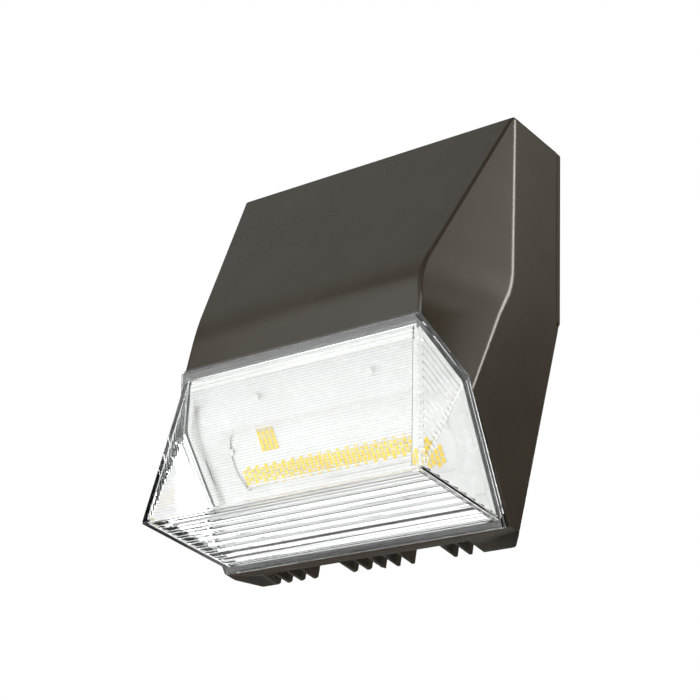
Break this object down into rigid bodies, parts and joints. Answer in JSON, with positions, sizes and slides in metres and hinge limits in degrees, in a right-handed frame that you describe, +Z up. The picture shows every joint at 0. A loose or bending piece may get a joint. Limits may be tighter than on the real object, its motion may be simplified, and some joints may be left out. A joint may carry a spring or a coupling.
{
  "type": "wall pack light",
  "caption": "Outdoor wall light with a folded, tapering cast body, a clear ribbed wedge lens under it, cooling fins behind, and a front hinged at the top of a flat back plate",
  "frame": {"origin": "centre of the wire entry and of the junction box screws, on the wall face of the back plate", "axes": "+X to the right as seen from the street, +Y into the wall, +Z up"},
  "size_m": [0.203, 0.1255, 0.2575],
  "materials": {
    "bronze_paint": "satin dark bronze powder coat on die-cast aluminium",
    "clear_lens": "clear moulded lens with fine prisms inside",
    "black_foam": "matt black foam and rubber",
    "grey_silicone": "matt grey silicone",
    "stainless": "plain stainless steel",
    "green_screw": "green dyed steel",
    "white_reflector": "gloss white painted sheet",
    "white_board": "white solder mask",
    "blue_pad": "matt thermal pad",
    "led_phosphor": "yellow phosphor under clear resin, unlit",
    "natural_plastic": "natural moulded nylon",
    "red_lead": "red lead insulation",
    "black_lead": "black lead insulation",
    "white_lead": "white lead insulation",
    "driver_aluminium": "plain folded aluminium",
    "black_potting": "set potting compound",
    "nylon": "natural nylon"
  },
  "bodies": {
    "back_box": {"back_plate": "bronze_paint", "wall_gasket": "black_foam", "door_gasket": "grey_silicone", "hinge_pins": "stainless", "ground_screw": "green_screw", "ground_clamp": "stainless"},
    "door": {"door_housing": "bronze_paint", "lens": "clear_lens", "lens_seal": "grey_silicone", "reflector": "white_reflector", "reflector_screws": "stainless", "led_board": "white_board", "thermal_pad": "blue_pad", "led_packages": "led_phosphor", "led_board_screws": "stainless", "led_connector": "natural_plastic", "led_lead_red": "red_lead", "led_lead_black": "black_lead", "duct_grommet": "black_foam", "driver_case": "driver_aluminium", "driver_lid": "driver_aluminium", "driver_potting": "black_potting", "driver_screws": "stainless", "line_lead": "black_lead", "neutral_lead": "white_lead", "push_in_connectors": "natural_plastic", "clamp_nuts": "stainless", "retaining_washers": "nylon"},
    "captive_screw_left": {"captive_screw_left": "stainless"},
    "captive_screw_right": {"captive_screw_right": "stainless"}
  },
  "joints": [
    {"name": "door_hinge", "type": "hinge", "parent": "back_box", "child": "door", "pos_m": [0, -0.0068, 0.0606], "axis": [-1, 0, 0], "range_deg": [0, 90]},
    {"name": "captive_screw_left_turn", "type": "hinge", "parent": "door", "child": "captive_screw_left", "pos_m": [-0.0344, -0.015, -0.06], "axis": [0, 0, 1], "continuous": true},
    {"name": "captive_screw_right_turn", "type": "hinge", "parent": "door", "child": "captive_screw_right", "pos_m": [0.0344, -0.015, -0.06], "axis": [0, 0, 1], "continuous": true}
  ]
}
